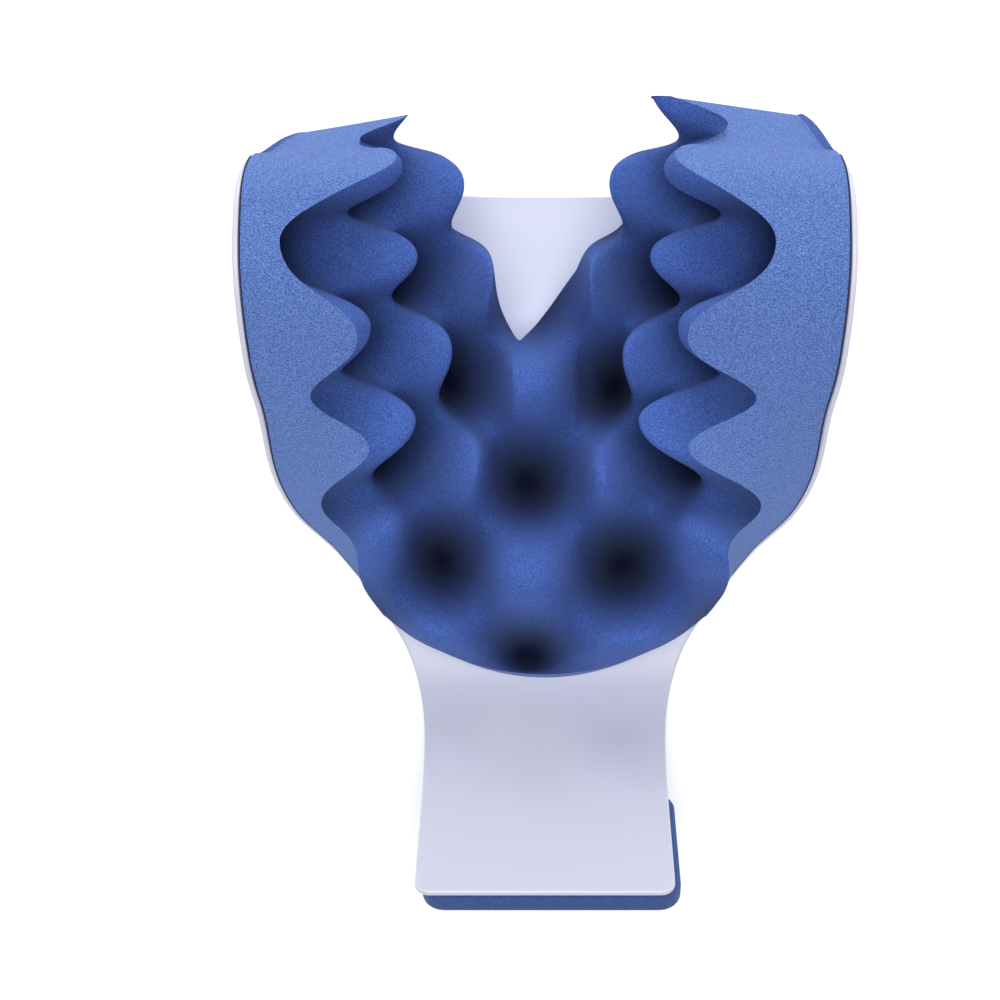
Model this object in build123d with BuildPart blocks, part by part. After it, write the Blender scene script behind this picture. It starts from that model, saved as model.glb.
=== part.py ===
# Cervical traction device: a neck and head cradle moulded from one springy plastic
# sheet, lined with egg-crate foam, with a padded tongue that bends up from one end.
#
# The object lies on its back, as it does in use.  +Z is up, +Y runs from the tongue
# to the open end of the cradle, +X is across it, and the origin is under the middle
# of the object, on the surface that it lies on.
#
# Every piece follows one curved sheet.  A place on it is given by three lengths:
#   along  distance along the sheet's centre line, growing towards the open end
#   side   distance round the sheet from that line
#   lift   height above the sheet's underside
from build123d import *
from math import cos, radians, sin
import os

os.makedirs("parts", exist_ok=True)

# ------------------------------------------------------------- driving dimensions (mm)
SHEET_THICKNESS = 1.7
GLUE_THICKNESS = 0.3
LAYER_GAP = 0.15             # keeps the curved faces of bonded layers from crossing
FOAM_THICKNESS = 35.0        # mean of the egg-crate foam's peaks and pits
PAD_THICKNESS = 6.0

TONGUE_END = -154.0          # places along the sheet's centre line
BEND_END = -110.0
FLEX_LINE = -80.0            # where the sheet bends most
FOAM_START = -62.0
BEND_START = -40.0
SHEET_OPEN_END = 106.0
WING_END = 117.0
TONGUE_SLOPE = 60.0          # degrees, of the straight tongue above the floor

FLAT_HALF_WIDTH = 10.0       # level strip down the middle of the cradle
WALL_RADIUS = 80.0           # round which each side of the cradle curves up
WALL_ANGLE = 86.0            # degrees, where the side wall runs straight
ROUND_START = -50.0          # the sheet starts to curl here and is fully curled
ROUND_END = 30.0             # from here to the open end

TONGUE_CORNER = 4.5
WING_CORNER = 22.0           # side view of the wings' ends: they lean back and are rounded
WING_LEAN_START = 45.0
WING_LEAN = 14.0
PAD_CORNER = 7.0
PAD_LENGTH = 47.0
PAD_SHIFT = 2.3              # the pad sits slightly to one side of the tongue
FOAM_INSET = 0.6             # bare rim of the sheet around the foam
FLEX_GAP = 0.3               # between the two halves of the sheet at the flex line
NOTCH_DEPTH = 64.0           # of the V cut into the open end of the foam
NOTCH_HALF_WIDTH = 64.0
NOTCH_SHIFT = -6.0           # its bottom is cut slightly off centre
FLAT_SKIM = 0.08             # shaved off the underside, so that it rests on a true plane
CENTRE_SHIFT = 3.5           # brings the middle of the object's length to Y = 0
SECTION_SPACING = 9.0        # between the cross-sections that each layer is lofted through
TALL = 120.0                 # more than the height of any piece

# Outline of the flat sheet: (along, half width)
SHEET_EDGE = (
    (-154, 39.2), (-83, 41), (-63, 44), (-46, 51), (-18, 72),
    (-4, 88.5), (20, 111), (42, 130.5), (66, 141), (90, 140), (117, 136),
)


# ------------------------------------------------------------------ shape of the sheet
def ramp(start, end, place):
    """Smooth rise from 0 at start to 1 at end."""
    part_way = min(max((place - start) / (end - start), 0), 1)
    return part_way**2 * (3 - 2 * part_way)


def half_width(along):
    """Half the width of the flat sheet, from a smooth curve through its outline."""
    last = len(SHEET_EDGE) - 1
    index = 0
    while index < last - 1 and along > SHEET_EDGE[index + 1][0]:
        index += 1

    def slope(i):
        before, after = SHEET_EDGE[max(i - 1, 0)], SHEET_EDGE[min(i + 1, last)]
        return (after[1] - before[1]) / (after[0] - before[0])

    (start, low), (end, high) = SHEET_EDGE[index], SHEET_EDGE[index + 1]
    length = end - start
    t = (along - start) / length
    straight = low + (high - low) * t**2 * (3 - 2 * t)
    leaving = slope(index) * length * t * (1 - t) ** 2
    arriving = slope(index + 1) * length * t**2 * (1 - t)
    return straight + leaving - arriving


def walk(direction, length, steps=60):
    """How far across and up a line gets when its direction is a function of distance."""
    step = length / steps
    angles = [direction((i + 0.5) * step) for i in range(steps)]
    return sum(cos(a) for a in angles) * step, sum(sin(a) for a in angles) * step


def centre_slope(along):
    """Slope of the centre line, level in the cradle and steep at the tongue."""
    return radians(TONGUE_SLOPE) * (1 - ramp(BEND_END, BEND_START, along))


def section_plane(along):
    """Plane that cuts the sheet square to its centre line, with its Y away from the sheet."""
    run, rise = walk(lambda d: centre_slope(BEND_START - d), max(BEND_START - along, 0))
    slope = centre_slope(along)
    origin = (0, max(along, BEND_START) - run + CENTRE_SHIFT, rise - FLAT_SKIM)
    return Plane(origin=origin, x_dir=(1, 0, 0), z_dir=(0, -cos(slope), sin(slope)))


def section_line(along, lift, width, shift=0.0, count=40):
    """Points across the sheet at one place along it, in that place's section plane."""
    curl = ramp(ROUND_START, ROUND_END, along) / WALL_RADIUS

    def wall(distance):
        return min(max(distance - FLAT_HALF_WIDTH, 0) * curl, radians(WALL_ANGLE))

    points = []
    for i in range(count + 1):
        side = width * (2 * i / count - 1) + shift
        across, up = walk(wall, abs(side))
        lean = wall(abs(side))
        across -= lift * sin(lean)
        points.append((across if side >= 0 else -across, up + lift * cos(lean)))
    return points


def section_places(start, end):
    """The start, the end, and the shared places between them where sections are drawn."""
    first = int(start // SECTION_SPACING) + 1
    last = int(-(-end // SECTION_SPACING)) - 1
    shared = [i * SECTION_SPACING for i in range(first, last + 1)]
    clear = [place for place in shared if min(place - start, end - place) > SECTION_SPACING / 4]
    return [start, *clear, end]


def sheet_layer(start, end, lift, thickness, inset=0.0, shift=0.0):
    """A layer of one thickness that follows the sheet between two places along it."""
    with BuildPart() as layer:
        for along in section_places(start, end):
            width = half_width(along) - inset
            below = section_line(along, lift, width, shift)
            above = section_line(along, lift + thickness, width, shift)
            with BuildSketch(section_plane(along)):
                with BuildLine():
                    Spline(*below)
                    Line(below[-1], above[-1])
                    Spline(*reversed(above))
                    Line(above[0], below[0])
                make_face()
        loft()
    return layer.part


def short_edges(part, thickness):
    """The edges at a layer's corners, square to the sheet, sorted from the tongue's end."""
    edges = part.edges().filter_by(lambda edge: edge.length < 1.5 * thickness)
    return edges.sort_by(Axis.Y)


# ----------------------------------------------- what is cut off the lining and its glue
rim_side = half_width(BEND_START)
rim_start = BEND_START + CENTRE_SHIFT
notch_end = WING_END + CENTRE_SHIFT

with BuildPart() as lining_cutter:
    with BuildSketch():
        with BuildLine():
            ThreePointArc((-rim_side, rim_start), (0, FOAM_START + CENTRE_SHIFT), (rim_side, rim_start))
            Polyline((rim_side, rim_start), (TALL, rim_start), (TALL, -TALL),
                     (-TALL, -TALL), (-TALL, rim_start), (-rim_side, rim_start))
        make_face()
        with BuildLine():
            Polyline((NOTCH_SHIFT, notch_end - NOTCH_DEPTH), (NOTCH_HALF_WIDTH, notch_end),
                     (NOTCH_HALF_WIDTH, notch_end + TALL), (-NOTCH_HALF_WIDTH, notch_end + TALL),
                     (-NOTCH_HALF_WIDTH, notch_end), close=True)
        make_face()
    extrude(amount=TALL, both=True)

# ------------------------------------------- what is cut off the ends of the wings
with BuildPart() as wing_cutter:
    with BuildSketch(Plane.YZ):
        with BuildLine():
            Polyline(
                (notch_end, WING_LEAN_START), (notch_end - WING_LEAN, WALL_RADIUS + SHEET_THICKNESS),
                (notch_end - WING_LEAN - WING_CORNER, TALL), (notch_end + TALL, TALL),
                (notch_end + TALL, WING_LEAN_START), close=True)
        make_face()
        fillet(vertices().sort_by(Axis.X)[1], WING_CORNER)
    extrude(amount=TALL, both=True)

# ---------------------------------------------------------------------- moulded sheet
with BuildPart() as cradle_shell:
    add(sheet_layer(FLEX_LINE, WING_END, 0, SHEET_THICKNESS))
    add(wing_cutter.part, mode=Mode.SUBTRACT)
    with BuildSketch():
        with Locations((0, SHEET_OPEN_END + CENTRE_SHIFT)):
            SlotOverall(4 * NOTCH_HALF_WIDTH, 4 * (WING_END - SHEET_OPEN_END),
                        align=(Align.CENTER, Align.MIN))
    extrude(amount=WALL_RADIUS / 4, both=True, mode=Mode.SUBTRACT)
    Box(2 * TALL, 4 * TALL, TALL, align=(Align.CENTER, Align.CENTER, Align.MAX), mode=Mode.SUBTRACT)
cradle_shell.part.label = "cradle_shell"

with BuildPart() as neck_tongue:
    add(sheet_layer(TONGUE_END, FLEX_LINE - FLEX_GAP, 0, SHEET_THICKNESS))
    fillet(short_edges(neck_tongue, SHEET_THICKNESS)[:2], TONGUE_CORNER)
neck_tongue.part.label = "neck_tongue"

# ------------------------------------------------------------------ lining and its glue
with BuildPart() as cradle_glue_film:
    glue_lift = SHEET_THICKNESS + LAYER_GAP
    add(sheet_layer(FOAM_START - 1, WING_END, glue_lift, GLUE_THICKNESS, FOAM_INSET))
    add(lining_cutter.part, mode=Mode.SUBTRACT)
    add(wing_cutter.part, mode=Mode.SUBTRACT)
cradle_glue_film.part.label = "cradle_glue_film"

with BuildPart() as cradle_foam:
    foam_lift = glue_lift + GLUE_THICKNESS + LAYER_GAP
    add(sheet_layer(FOAM_START - 1, WING_END, foam_lift, FOAM_THICKNESS, FOAM_INSET))
    add(lining_cutter.part, mode=Mode.SUBTRACT)
    add(wing_cutter.part, mode=Mode.SUBTRACT)
cradle_foam.part.label = "cradle_foam"

# ------------------------------------------------------------- tongue pad and its glue
pad_end = TONGUE_END + PAD_LENGTH

with BuildPart() as tongue_glue_film:
    pad_glue_lift = -LAYER_GAP - GLUE_THICKNESS
    add(sheet_layer(TONGUE_END + PAD_SHIFT, pad_end, pad_glue_lift, GLUE_THICKNESS,
                    inset=PAD_SHIFT))
    fillet(tongue_glue_film.edges().filter_by(lambda edge: edge.length < 2 * GLUE_THICKNESS),
           PAD_CORNER)
tongue_glue_film.part.label = "tongue_glue_film"

with BuildPart() as tongue_pad:
    pad_lift = pad_glue_lift - LAYER_GAP - PAD_THICKNESS
    add(sheet_layer(TONGUE_END, pad_end, pad_lift, PAD_THICKNESS, shift=PAD_SHIFT))
    fillet(short_edges(tongue_pad, PAD_THICKNESS), PAD_CORNER)
tongue_pad.part.label = "tongue_pad"

pieces = (cradle_shell, neck_tongue, cradle_glue_film, cradle_foam, tongue_glue_film, tongue_pad)
for piece in pieces:
    export_step(piece.part, f"parts/{piece.part.label}.step")

whole = Compound(children=[piece.part for piece in pieces]).bounding_box()
print("whole box", whole)
print("flex line at", section_plane(FLEX_LINE).origin)
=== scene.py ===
# %% [markdown]
# A neck and head cradle, piece by piece.
#
# The object is one springy plastic sheet, curled up at both sides into a trough,
# with a tongue that bends up from one end.  Thick egg-crate foam lines the trough
# and a thin pad is stuck behind the tongue.  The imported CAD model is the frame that
# everything here is fitted to: it gives the bodies, the joint and the overall box.

# %% Load the frame
import math

import bmesh
import bpy
import numpy as np
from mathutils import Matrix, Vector


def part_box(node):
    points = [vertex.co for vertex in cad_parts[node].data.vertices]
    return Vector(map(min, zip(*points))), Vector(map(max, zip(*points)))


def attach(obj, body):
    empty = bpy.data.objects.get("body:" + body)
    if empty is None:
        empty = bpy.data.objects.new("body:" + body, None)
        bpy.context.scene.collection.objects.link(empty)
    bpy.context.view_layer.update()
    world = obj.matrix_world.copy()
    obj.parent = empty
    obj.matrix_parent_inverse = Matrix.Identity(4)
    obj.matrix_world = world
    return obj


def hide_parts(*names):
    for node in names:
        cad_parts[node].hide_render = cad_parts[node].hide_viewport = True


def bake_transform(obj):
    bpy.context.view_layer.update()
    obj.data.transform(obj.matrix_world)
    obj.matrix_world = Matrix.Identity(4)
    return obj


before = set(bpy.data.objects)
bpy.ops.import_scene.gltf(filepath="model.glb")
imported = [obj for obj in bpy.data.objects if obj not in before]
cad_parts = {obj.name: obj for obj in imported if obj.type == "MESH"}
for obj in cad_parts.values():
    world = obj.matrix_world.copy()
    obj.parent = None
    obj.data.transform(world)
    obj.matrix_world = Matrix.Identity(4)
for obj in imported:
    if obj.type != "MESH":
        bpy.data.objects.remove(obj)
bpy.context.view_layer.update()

# %% [markdown]
# The sheet sets the shape of every other piece, so its sizes come first.  They are
# in millimetres, as on a drawing, and MM turns them into Blender's metres.  A place
# on the sheet is given by how far ALONG the centre line it is, how far round to the
# SIDE of that line, and its LIFT above the sheet's underside.

# %% Sizes of the sheet, the foam and the pad
MM = 0.001
SHEET_THICKNESS = 1.7
GLUE_THICKNESS = 0.3
LAYER_GAP = 0.15
PAD_THICKNESS = 6.0

TONGUE_END, BEND_END, FOAM_START, BEND_START = -154.0, -110.0, -62.0, -40.0
SHEET_OPEN_END, WING_END = 106.0, 117.0
TONGUE_SLOPE = math.radians(60)

FLAT_HALF_WIDTH, WALL_RADIUS, WALL_ANGLE = 10.0, 80.0, math.radians(86)
ROUND_START, ROUND_END = -50.0, 30.0
TONGUE_CORNER, WING_CORNER, PAD_CORNER = 4.5, 21.0, 7.0
WING_LEAN, FLAT_SKIM = 13.0, 0.08
PAD_LENGTH, PAD_SHIFT, FOAM_INSET = 47.0, 2.0, 0.6

SHEET_EDGE = (
    (-154, 39.2), (-83, 41), (-63, 44), (-46, 51), (-18, 72),
    (-4, 88.5), (20, 111), (42, 130.5), (66, 141), (90, 140), (117, 136),
)

# The open end of the CAD model tells where the drawing's zero line lies along Y.
CENTRE_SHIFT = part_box("cradle_shell")[1].y / MM - WING_END
print("the drawing's zero line is at Y =", round(CENTRE_SHIFT, 2), "mm")

# %% [markdown]
# Two helpers describe curves.  `ramp` is a smooth step, for anything that fades in.
# `half_width` draws a smooth line through the few stations of the sheet's outline,
# as a flexible batten does on a drawing board.

# %% Curve helpers
def ramp(start, end, place):
    """Smooth rise from 0 at start to 1 at end."""
    part_way = np.clip((np.asarray(place, float) - start) / (end - start), 0, 1)
    return part_way**2 * (3 - 2 * part_way)


def half_width(along):
    """Half the width of the flat sheet at places along it."""
    places, widths = np.array(SHEET_EDGE, float).T
    slopes = np.empty_like(widths)
    slopes[1:-1] = (widths[2:] - widths[:-2]) / (places[2:] - places[:-2])
    slopes[0] = (widths[1] - widths[0]) / (places[1] - places[0])
    slopes[-1] = (widths[-1] - widths[-2]) / (places[-1] - places[-2])
    along = np.asarray(along, float)
    index = np.clip(np.searchsorted(places, along) - 1, 0, len(places) - 2)
    length = places[index + 1] - places[index]
    t = (along - places[index]) / length
    straight = widths[index] + (widths[index + 1] - widths[index]) * t**2 * (3 - 2 * t)
    leaving = slopes[index] * length * t * (1 - t) ** 2
    arriving = slopes[index + 1] * length * t**2 * (1 - t)
    return straight + leaving - arriving


# %% [markdown]
# The centre line runs level through the cradle and then turns up into the tongue.
# Its slope is a formula, and adding up small steps along that slope gives its place.
# Across the sheet, each side starts level, follows an arc, and ends in a straight
# wall.  Together they turn the flat pattern into the curled sheet.

# %% From the flat pattern to the curled sheet
def centre_slope(along):
    return TONGUE_SLOPE * (1 - ramp(BEND_END, BEND_START, along))


line_along = np.linspace(WING_END + 5, TONGUE_END - 5, 2000)
line_step = line_along[0] - line_along[1]
line_mid_slope = centre_slope(line_along - line_step / 2)
line_steps_fore = np.concatenate(([0], np.cumsum(np.cos(line_mid_slope))[:-1]))
line_steps_up = np.concatenate(([0], np.cumsum(np.sin(line_mid_slope))[:-1]))
line_fore = line_along[0] + CENTRE_SHIFT - line_steps_fore * line_step
line_rise = line_steps_up * line_step


def on_sheet(side, along, lift):
    """Points (in metres) at a lift above the curled sheet's underside."""
    side, along, lift = np.broadcast_arrays(side, along, lift)
    curl = np.maximum(ramp(ROUND_START, ROUND_END, along), 1e-6) / WALL_RADIUS
    reach = np.abs(side)
    arc = np.clip(reach - FLAT_HALF_WIDTH, 0, WALL_ANGLE / curl)
    lean = arc * curl
    level = np.minimum(reach, FLAT_HALF_WIDTH)
    wall = np.maximum(reach - level - arc, 0)
    across = level + np.sin(lean) / curl + wall * np.cos(lean) - lift * np.sin(lean)
    up = (1 - np.cos(lean)) / curl + wall * np.sin(lean) + lift * np.cos(lean)
    slope = centre_slope(along)
    fore = np.interp(-along, -line_along, line_fore) + up * np.sin(slope)
    rise = np.interp(-along, -line_along, line_rise) + up * np.cos(slope) - FLAT_SKIM
    return np.stack([np.sign(side) * across, fore, rise], axis=-1) * MM


print("tongue end:", np.round(on_sheet(0.0, TONGUE_END, 0.0) / MM, 1), "mm")

# %% [markdown]
# Each piece is a layer: a patch of the flat pattern, given a thickness.  `patch`
# lays a grid over the piece's outline, so that the grid's border is exactly the
# outline, round corners included.  `layer_piece` lifts the grid to the layer's two
# faces and joins them round the border into one closed skin.

# %% Helpers that make a layer
def round_corner(distance, radius):
    """How far an edge draws in at a distance from the end of a rounded corner."""
    inside = np.clip(radius - distance, 0, radius)
    return radius - np.sqrt(radius**2 - inside**2)


def end_spacing(count, start, end, crowd=0.0):
    """Places between two ends, closer together near the ends as crowd grows to 1."""
    t = np.linspace(0, 1, count + 1)
    eased = (1 - np.cos(np.pi * t)) / 2
    return start + (end - start) * ((1 - crowd) * t + crowd * eased)


def patch(edge_along, edge_half_width, low_bow, high_bow, columns, shift=0.0):
    """Grid of (side, along) over a shape with two long edges and two bowed ends."""
    u = np.linspace(-1, 1, columns + 1)[None, :]
    along_edge = edge_along[:, None]
    v = (along_edge - edge_along[0]) / (edge_along[-1] - edge_along[0])
    side = u * edge_half_width[:, None] + shift
    along = along_edge + low_bow(u) * (1 - v) + high_bow(u) * v
    return side, along


def flat_end(u):
    return u * 0.0


def border_of(rows, columns):
    """Row and column of each grid point on the border, in order round it."""
    border = [(0, c) for c in range(columns)]
    border += [(r, columns - 1) for r in range(1, rows)]
    border += [(rows - 1, c) for c in range(columns - 2, -1, -1)]
    border += [(r, 0) for r in range(rows - 2, 0, -1)]
    return tuple(np.array(border).T)


def edge_profile(roll, edge_rows):
    """Steps up a layer's edge: (how far out in mm, fraction of height, extra lift in mm)."""
    if not roll:
        return [(0.0, i / edge_rows, 0.0) for i in range(1, edge_rows)]
    turn = [math.radians(angle) for angle in (30, 60, 90)]
    lower = [(roll * math.sin(t), 0.0, roll * (1 - math.cos(t))) for t in turn]
    upper = [(out, 1.0, -rise) for out, _, rise in reversed(lower)]
    return lower + upper


def layer_piece(name, side, along, low, high, edge_rows=1, roll=0.0):
    """Closed mesh between the lifts low and high over a patch, its edge rolled by roll mm."""
    rows, columns = side.shape
    low, high = np.broadcast_to(low, side.shape), np.broadcast_to(high, side.shape)
    border = border_of(rows, columns)
    line = np.stack([side[border], along[border]], axis=-1)
    travel = np.roll(line, -1, axis=0) - np.roll(line, 1, axis=0)
    outward = np.stack([travel[:, 1], -travel[:, 0]], axis=-1)
    outward /= np.linalg.norm(outward, axis=1, keepdims=True)

    size = rows * columns
    index = np.arange(size).reshape(rows, columns)
    parts = [on_sheet(side, along, low).reshape(-1, 3), on_sheet(side, along, high).reshape(-1, 3)]
    rings = [index[border]]
    start = 2 * size
    for out, fraction, extra in edge_profile(roll, edge_rows):
        place = line + outward * out
        lift = (low + (high - low) * fraction)[border] + extra
        parts.append(on_sheet(place[:, 0], place[:, 1], lift))
        rings.append(np.arange(start, start + len(place)))
        start += len(place)
    rings.append(index[border] + size)

    a, b = index[:-1, :-1].ravel(), index[:-1, 1:].ravel()
    c, d = index[1:, 1:].ravel(), index[1:, :-1].ravel()
    faces = [np.stack([d, c, b, a], 1), np.stack([a, b, c, d], 1) + size]
    for lower, upper in zip(rings[:-1], rings[1:]):
        faces.append(np.stack([lower, np.roll(lower, -1), np.roll(upper, -1), upper], 1))
    mesh = bpy.data.meshes.new(name)
    mesh.from_pydata(np.concatenate(parts).tolist(), [], np.concatenate(faces).tolist())
    piece = bpy.data.objects.new(name, mesh)
    bpy.context.scene.collection.objects.link(piece)
    print(name, "has", len(mesh.polygons), "faces")
    return piece


def finish_edges(piece, sharp=math.radians(50)):
    """Smooth shading that keeps crisp edges crisp."""
    work = bmesh.new()
    work.from_mesh(piece.data)
    for edge in work.edges:
        if edge.calc_face_angle() > sharp:
            edge.smooth = False
    for face in work.faces:
        face.smooth = True
    work.to_mesh(piece.data)
    work.free()


# %% [markdown]
# Finishes are built from shader nodes.  The moulded sheet is a cool white plastic
# with a soft gloss.  A very faint, broad waviness in the surface keeps its
# highlights from looking like glass.

# %% Finish of the moulded sheet
def new_finish(name, colour, roughness):
    finish = bpy.data.materials.new(name)
    finish.use_nodes = True
    shader = finish.node_tree.nodes["Principled BSDF"]
    shader.inputs["Base Color"].default_value = (*colour, 1)
    shader.inputs["Roughness"].default_value = roughness
    return finish, finish.node_tree.nodes, finish.node_tree.links, shader


def add_bump(nodes, links, shader, height, strength, distance):
    bump = nodes.new("ShaderNodeBump")
    bump.inputs["Strength"].default_value = strength
    bump.inputs["Distance"].default_value = distance
    links.new(height, bump.inputs["Height"])
    links.new(bump.outputs["Normal"], shader.inputs["Normal"])


def sheet_finish():
    finish, nodes, links, shader = new_finish("moulded_white", (0.66, 0.67, 0.78), 0.32)
    place = nodes.new("ShaderNodeTexCoord")
    waves = nodes.new("ShaderNodeTexNoise")
    waves.inputs["Scale"].default_value = 60
    links.new(place.outputs["Object"], waves.inputs["Vector"])
    add_bump(nodes, links, shader, waves.outputs["Fac"], 0.04, 0.001)
    return finish


moulded_white = sheet_finish()
print("sheet finish:", moulded_white.name)

# %% [markdown]
# Open-cell foam is a froth of tiny burst bubbles.  On a straight cut face each cell
# catches the light, so it looks pale and speckled.  The egg-crate face takes a
# smoother copy of the same finish in a darker blue, and that darker blue is painted
# shade for the inside of the trough.  Noise gives the speckle, both in colour and as
# bump, and a little sheen gives the soft look of the cell walls.
#
# Hardly any light comes back out of a deep pit in open foam.  Plain shading of a closed
# surface leaves the pits too light, so this finish is painted darker with depth.  It
# is a stand-in for shadow, not a colour of the foam, and it stays under any light.

# %% Finish of the foam
SHADE_START, SHADE_FULL = 0.12, 0.95
PIT_SHADE = (0.003, 0.006, 0.03, 1)


def foam_finish(name, deep, pale, cells, bump, sheen):
    finish, nodes, links, shader = new_finish(name, deep, 0.95)
    shader.inputs["Specular IOR Level"].default_value = 0.1
    shader.inputs["Sheen Weight"].default_value = sheen
    shader.inputs["Sheen Roughness"].default_value = 0.5
    shader.inputs["Sheen Tint"].default_value = (0.55, 0.68, 1.0, 1)
    place = nodes.new("ShaderNodeTexCoord")
    grain = nodes.new("ShaderNodeTexNoise")
    grain.inputs["Scale"].default_value = cells
    grain.inputs["Detail"].default_value = 2
    links.new(place.outputs["Object"], grain.inputs["Vector"])
    speckle = nodes.new("ShaderNodeValToRGB")
    speckle.color_ramp.elements[0].position = 0.36
    speckle.color_ramp.elements[0].color = (*deep, 1)
    speckle.color_ramp.elements[1].position = 0.64
    speckle.color_ramp.elements[1].color = (*pale, 1)
    links.new(grain.outputs["Fac"], speckle.inputs["Fac"])
    add_bump(nodes, links, shader, grain.outputs["Fac"], bump, 0.0008)
    return finish, nodes, links, shader, speckle


def deepen_hollows(nodes, links, shader, speckle):
    """Darken the colour with depth, in place of the shadow inside open foam."""
    hollow = nodes.new("ShaderNodeAttribute")
    hollow.attribute_name = "hollow"
    depth = nodes.new("ShaderNodeMapRange")
    depth.inputs["From Min"].default_value = SHADE_START
    depth.inputs["From Max"].default_value = SHADE_FULL
    links.new(hollow.outputs["Fac"], depth.inputs["Value"])
    shade = nodes.new("ShaderNodeMix")
    shade.data_type = "RGBA"
    shade.inputs["B"].default_value = PIT_SHADE
    links.new(depth.outputs["Result"], shade.inputs["Factor"])
    links.new(speckle.outputs["Color"], shade.inputs["A"])
    links.new(shade.outputs["Result"], shader.inputs["Base Color"])


cut_foam, _, cut_links, cut_shader, cut_speckle = foam_finish(
    "cut_foam", (0.055, 0.125, 0.42), (0.2, 0.345, 0.82), 2600, 1.0, 0.35)
cut_links.new(cut_speckle.outputs["Color"], cut_shader.inputs["Base Color"])
# The egg-crate face's finish is a darker blue than the cut faces': painted shade for the inside of
# the trough.
shaded_crate_foam, shaded_crate_nodes, shaded_crate_links, shaded_crate_shader, shaded_crate_speckle = foam_finish(
    "shaded_crate_foam", (0.038, 0.09, 0.36), (0.096, 0.19, 0.6), 2400, 0.8, 0.12)
deepen_hollows(shaded_crate_nodes, shaded_crate_links, shaded_crate_shader, shaded_crate_speckle)
pad_foam, _, pad_links, pad_shader, pad_speckle = foam_finish(
    "pad_foam", (0.042, 0.078, 0.23), (0.07, 0.12, 0.33), 2400, 0.4, 0.25)
pad_links.new(pad_speckle.outputs["Color"], pad_shader.inputs["Base Color"])
# A near-black finish for the glue films, which makes the thin dark line round the foam's foot.
near_black_film, _, _, _ = new_finish("near_black_film_finish", (0.03, 0.035, 0.08), 0.7)
print("foam finishes:", cut_foam.name, shaded_crate_foam.name, pad_foam.name)

# %% [markdown]
# The sheet is moulded in one piece, so it is made here as one mesh from the tongue's end
# to the open end, though the CAD model divides it where it flexes. Its rim is rolled
# over by half a millimetre, as a mould leaves it.

# %% The moulded sheet
WING_TIP = WING_END - WING_LEAN
SHEET_ROLL = 0.5
MIDDLE_FADES = 45.0, 85.0
LEAN_FADES = 38.0, 6.0
BLEND_START, BLEND_END = -58.0, -106.0


def wing_lean(side):
    """How far the open end reaches past the wings' outer corners."""
    start, end = sheet_widths[-1] - LEAN_FADES[0], sheet_widths[-1] + LEAN_FADES[1]
    return WING_LEAN * (1 - ramp(start, end, np.abs(side)))


def sheet_open_reach(side):
    """The open end is straight in the middle and reaches further on the two wings."""
    middle = (WING_END - SHEET_OPEN_END) * (1 - ramp(*MIDDLE_FADES, np.abs(side)))
    return wing_lean(side) - wing_lean(sheet_widths[-1]) - middle


def sheet_open_bow(u):
    return sheet_open_reach(u * sheet_widths[-1])


sheet_rows = np.concatenate([
    end_spacing(12, TONGUE_END + SHEET_ROLL, TONGUE_END + TONGUE_CORNER, 0.7)[:-1],
    np.linspace(TONGUE_END + TONGUE_CORNER, WING_TIP - WING_CORNER, 150)[:-1],
    end_spacing(24, WING_TIP - WING_CORNER, WING_TIP - SHEET_ROLL, 0.7),
])
sheet_widths = (
    half_width(sheet_rows) - SHEET_ROLL
    - round_corner(sheet_rows - TONGUE_END - SHEET_ROLL, TONGUE_CORNER - SHEET_ROLL)
    - round_corner(WING_TIP - SHEET_ROLL - sheet_rows, WING_CORNER - SHEET_ROLL)
)
side, along = patch(sheet_rows, sheet_widths, flat_end, sheet_open_bow, 140)
moulded_sheet = layer_piece("moulded_sheet", side, along, 0.0, SHEET_THICKNESS, roll=SHEET_ROLL)
finish_edges(moulded_sheet)
moulded_sheet.data.materials.append(moulded_white)
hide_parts("cradle_shell", "neck_tongue")
flex_start = on_sheet(0.0, BLEND_START, 0.0)
flex_end = on_sheet(0.0, BLEND_END, 0.0)
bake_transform(moulded_sheet)

# %% [markdown]
# The lining is egg-crate foam: a slab pushed through patterned rollers and split, so
# that one face has rows of rounded peaks with pits between them.  The peaks of one
# row stand beside the pits of the next, which a product of two cosines gives.  The
# slab is then cut round the sheet's outline, with a V cut into the open end, and its
# cut faces stay flat and square to the sheet.

# %% The egg-crate pattern
FOAM_LIFT = SHEET_THICKNESS + GLUE_THICKNESS + 2 * LAYER_GAP
HALF_PITCH_SIDE, HALF_PITCH_ALONG = 32.0, 30.0
FIRST_ROW = -54.0
PATTERN_SHIFT = 6.0
ROW_LAG = 16.0
PEAK_HEIGHT, PIT_HEIGHT, RIM_HEIGHT = 52.0, 6.0, 8.0
PEAK_BREADTH = 1.25
RIM_ROLL, RIM_ROLL_TIGHTENING = 24.0, 0.55
SIDE_DIFFERENCE = 0.14
RIGHT_WALL_GAIN = 0.13
WING_THINNING, THINNING_DIFFERENCE = 7.0, 0.45
LEAST_HEIGHT = 4.0
# Local adjustments to the height: rise, side, along, and spread both ways.
EXTRA_RISES = (
    (9.0, 52.0, 92.0, 22.0, 26.0),
    (7.0, 30.0, 68.0, 16.0, 16.0),
    (6.0, 95.0, -10.0, 26.0, 13.0),
    (6.0, 98.0, 100.0, 18.0, 10.0),
)
NOTCH_DEPTH, NOTCH_HALF_WIDTH, NOTCH_SHIFT, NOTCH_HOLLOW = 66.0, 92.0, -9.0, 1.9
LOBE_REACH, LOBE_DIFFERENCE, LOBE_SIDE, LOBE_WIDTH = 7.0, 3.5, 97.0, 16.0


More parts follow.
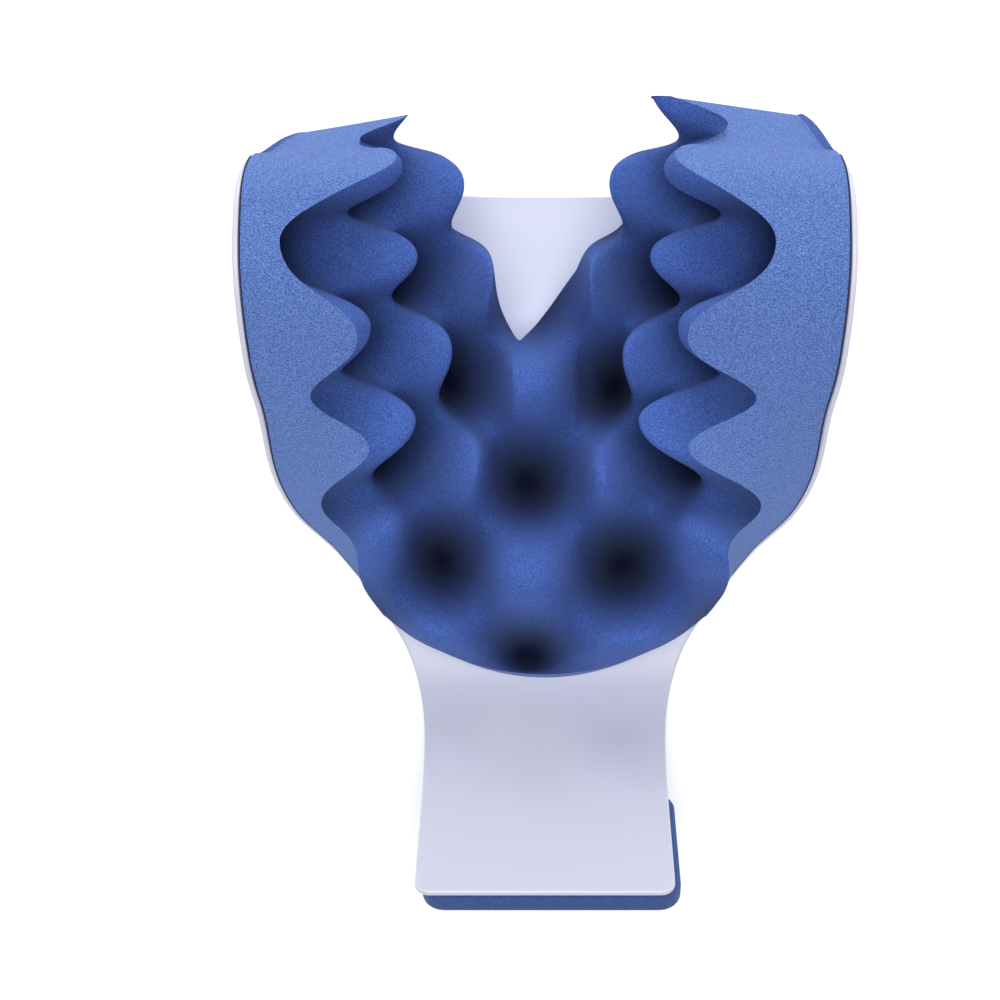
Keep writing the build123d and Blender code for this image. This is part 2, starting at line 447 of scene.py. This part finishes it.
def foam_pattern(side, along):
    """1 on the peaks, 0 in the pits."""
    edge = half_width(along)
    drift = PATTERN_SHIFT * (1 - np.clip(np.abs(side) / edge, 0, 1) ** 2)
    lag = ROW_LAG * ramp(0, 110, np.abs(side)) * (1 - ramp(40, 110, along))
    u = (side + drift) / HALF_PITCH_SIDE
    v = (along - lag - FIRST_ROW) / HALF_PITCH_ALONG
    wave = (1 - np.cos(np.pi * u) * np.cos(np.pi * v)) / 2
    return 1 - (1 - wave) ** PEAK_BREADTH


def foam_height(side, along):
    """Height of the foam's face above the sheet."""
    height = PIT_HEIGHT + (PEAK_HEIGHT - PIT_HEIGHT) * foam_pattern(side, along)
    sideways = side / half_width(along)
    height = height * (1 + SIDE_DIFFERENCE * np.minimum(sideways, 0))
    height = height * (1 + RIGHT_WALL_GAIN * ramp(50, 100, side) * (1 - ramp(25, 50, along)))
    thin = ramp(80, 135, np.abs(side)) * ramp(20, 50, along) * (1 - ramp(75, 100, along))
    height = height - WING_THINNING * (1 - THINNING_DIFFERENCE * sideways) * thin
    height = np.maximum(height, LEAST_HEIGHT)
    for rise, at_side, at_along, side_spread, along_spread in EXTRA_RISES:
        from_side = (np.abs(side) - at_side) / side_spread
        from_along = (along - at_along) / along_spread
        height = height + rise * np.exp(-from_side**2 - from_along**2)
    outward = np.minimum(np.abs(side) / foam_widths[0], 1) ** 2
    rim = FOAM_START + (BEND_START - FOAM_START) * outward
    roll_width = RIM_ROLL * (1 - RIM_ROLL_TIGHTENING * outward)
    near_rim = np.clip((along - rim) / roll_width, 0, 1)
    roll = np.sqrt(1 - (1 - near_rim) ** 2)
    return RIM_HEIGHT + (height - RIM_HEIGHT) * roll


def foam_rim_bow(u):
    return (FOAM_START - BEND_START) * (1 - u**2)


def foam_open_bow(u):
    """The V notch in the open end."""
    side = u * foam_widths[-1]
    from_notch = np.abs(side - NOTCH_SHIFT * (1 - np.abs(u)))
    depth = NOTCH_DEPTH * np.clip(1 - from_notch / NOTCH_HALF_WIDTH, 0, 1) ** NOTCH_HOLLOW
    lobe = LOBE_REACH + LOBE_DIFFERENCE * np.clip(side / LOBE_SIDE, -1, 1)
    lobe = lobe * np.exp(-((np.abs(side) - LOBE_SIDE) / LOBE_WIDTH) ** 2)
    return wing_lean(side) - wing_lean(foam_widths[-1]) - depth + lobe


print("V notch:", NOTCH_DEPTH, "mm deep; peaks every", 2 * HALF_PITCH_SIDE, "mm across")

# %% [markdown]
# The lining itself is one patch with flat cut edges.  Its egg-crate face takes one
# finish and every cut face takes the other.  Each point also keeps how deep in a pit
# it lies, in an attribute called `hollow`, which the finish reads.

# %% The egg-crate lining
FOAM_TIP, FOAM_CORNER = WING_TIP + 0.8, WING_CORNER - 2.0
FOAM_COLUMNS = 300
foam_rows = np.concatenate([
    np.linspace(BEND_START, WING_TIP - WING_CORNER, 190)[:-1],
    end_spacing(26, WING_TIP - WING_CORNER, FOAM_TIP - 0.05, 0.7),
])
foam_widths = half_width(foam_rows) - FOAM_INSET - round_corner(FOAM_TIP - foam_rows, FOAM_CORNER)
side, along = patch(foam_rows, foam_widths, foam_rim_bow, foam_open_bow, FOAM_COLUMNS)
foam_top = FOAM_LIFT + foam_height(side, along)
egg_crate = layer_piece("egg_crate_lining", side, along, FOAM_LIFT, foam_top, edge_rows=10)
print("foam height:", round(foam_height(side, along).min(), 1), "to",
      round(foam_height(side, along).max(), 1), "mm")
hollow = egg_crate.data.attributes.new("hollow", "FLOAT", "POINT")
hollow_values = np.zeros(len(egg_crate.data.vertices))
hollow_values[side.size:2 * side.size] = (1 - foam_pattern(side, along)).ravel()
hollow.data.foreach_set("value", hollow_values.astype(np.float32))
finish_edges(egg_crate)
egg_crate.data.materials.append(shaded_crate_foam)
egg_crate.data.materials.append(cut_foam)
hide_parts("cradle_foam")
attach(egg_crate, "cradle")

patch_faces = (len(foam_rows) - 1) * FOAM_COLUMNS
for face in egg_crate.data.polygons:
    face.material_index = 0 if patch_faces <= face.index < 2 * patch_faces else 1

# %% [markdown]
# The foam is bonded down all over.  Its glue film is the same patch as the foam's, a
# little prouder at the edge, and has a near-black finish, so a thin dark line shows
# round the foam's foot.
# On the wings the foam reaches past the sheet's open end, and the film stops short.

# %% The glue under the lining
FILM_PROUD, FILM_MARGIN, FILM_COLUMNS = 0.3, 0.4, 120
film_widths = foam_widths + FILM_PROUD
film_side, film_along = patch(foam_rows, film_widths, foam_rim_bow, foam_open_bow, FILM_COLUMNS)
film_along = np.minimum(film_along, WING_TIP + sheet_open_reach(film_side) - FILM_MARGIN)
film_low = SHEET_THICKNESS + LAYER_GAP
lining_glue = layer_piece("lining_glue", film_side, film_along, film_low, film_low + GLUE_THICKNESS)
finish_edges(lining_glue)
lining_glue.data.materials.append(near_black_film)
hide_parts("cradle_glue_film")
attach(lining_glue, "cradle")

# %% [markdown]
# The pad behind the tongue is a thin, fine-celled foam with die-cut round corners.
# It sits slightly to one side, as a piece stuck on by hand does.  Its outer edge is
# rolled over a little, because soft foam creeps back from the cutter.

# %% The tongue pad
PAD_ROLL = 1.2
pad_start, pad_end = TONGUE_END + PAD_ROLL, TONGUE_END + PAD_LENGTH - PAD_ROLL
pad_turn = PAD_CORNER - PAD_ROLL
pad_rows = np.concatenate([
    end_spacing(14, pad_start, pad_start + pad_turn, 0.7)[:-1],
    np.linspace(pad_start + pad_turn, pad_end - pad_turn, 30)[:-1],
    end_spacing(14, pad_end - pad_turn, pad_end, 0.7),
])
pad_widths = (
    half_width(pad_rows) - PAD_ROLL
    - round_corner(pad_rows - pad_start, pad_turn)
    - round_corner(pad_end - pad_rows, pad_turn)
)
side, along = patch(pad_rows, pad_widths, flat_end, flat_end, 60, PAD_SHIFT)
pad_high = -GLUE_THICKNESS - 2 * LAYER_GAP
pad_low = pad_high - PAD_THICKNESS
tongue_pad = layer_piece("tongue_pad_foam", side, along, pad_low, pad_high, roll=PAD_ROLL)
finish_edges(tongue_pad)
tongue_pad.data.materials.append(pad_foam)
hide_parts("tongue_pad")
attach(tongue_pad, "tongue")

# The pad's glue film has the right shape in the CAD model and only needs its finish.
pad_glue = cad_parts["tongue_glue_film"]
for glue_slot in pad_glue.material_slots:
    glue_slot.material = near_black_film

# %% [markdown]
# A plain pale floor and big soft lamps suit a product on a table.  The main light is
# a wide panel straight above; a second one leans in from the open end and lights the
# tongue, which faces that way.

# %% Floor, light and camera
FLOOR_DROP = 0.0004


def floor():
    bpy.ops.mesh.primitive_plane_add(size=8, location=(0, 0, -FLOOR_DROP))
    ground = bpy.context.object
    ground.name = "floor"
    pale, _, _, pale_shader = new_finish("pale_floor", (0.93, 0.93, 0.94), 0.9)
    pale_shader.inputs["Emission Color"].default_value = (1, 1, 1, 1)
    pale_shader.inputs["Emission Strength"].default_value = 0.25
    ground.data.materials.append(pale)


def panel(name, place, aim, size, watts):
    lamp = bpy.data.lights.new(name, "AREA")
    lamp.shape = "SQUARE"
    lamp.size = size
    lamp.energy = watts
    holder = bpy.data.objects.new(name, lamp)
    holder.location = place
    holder.rotation_euler = (Vector(aim) - Vector(place)).to_track_quat("-Z", "Y").to_euler()
    bpy.context.scene.collection.objects.link(holder)


floor()
panel("top_panel", (0.0, -0.05, 1.4), (0, 0, 0), 0.8, 12)
panel("open_end_panel", (0.0, 1.4, 0.75), (0, 0, 0.03), 0.9, 11)

room = bpy.data.worlds.new("soft_room")
room.use_nodes = True
room.node_tree.nodes["Background"].inputs["Color"].default_value = (0.95, 0.96, 1.0, 1)
room.node_tree.nodes["Background"].inputs["Strength"].default_value = 0.36
bpy.context.scene.world = room
bpy.context.scene.view_settings.view_transform = "Standard"

# %% [markdown]
# The camera looks straight down onto the cradle's floor from close by, so the wings,
# which stand nearer to it, look large.

# %% Camera
CAMERA_HEIGHT = 0.502
camera = bpy.data.objects.new("camera", bpy.data.cameras.new("camera"))
camera.data.lens = 51.84
camera.data.shift_x = -0.045
camera.data.clip_start = 0.01
camera.location = (0, CENTRE_SHIFT * MM, CAMERA_HEIGHT)
camera.rotation_euler = (0, 0, 0)
bpy.context.scene.collection.objects.link(camera)
bpy.context.scene.camera = camera
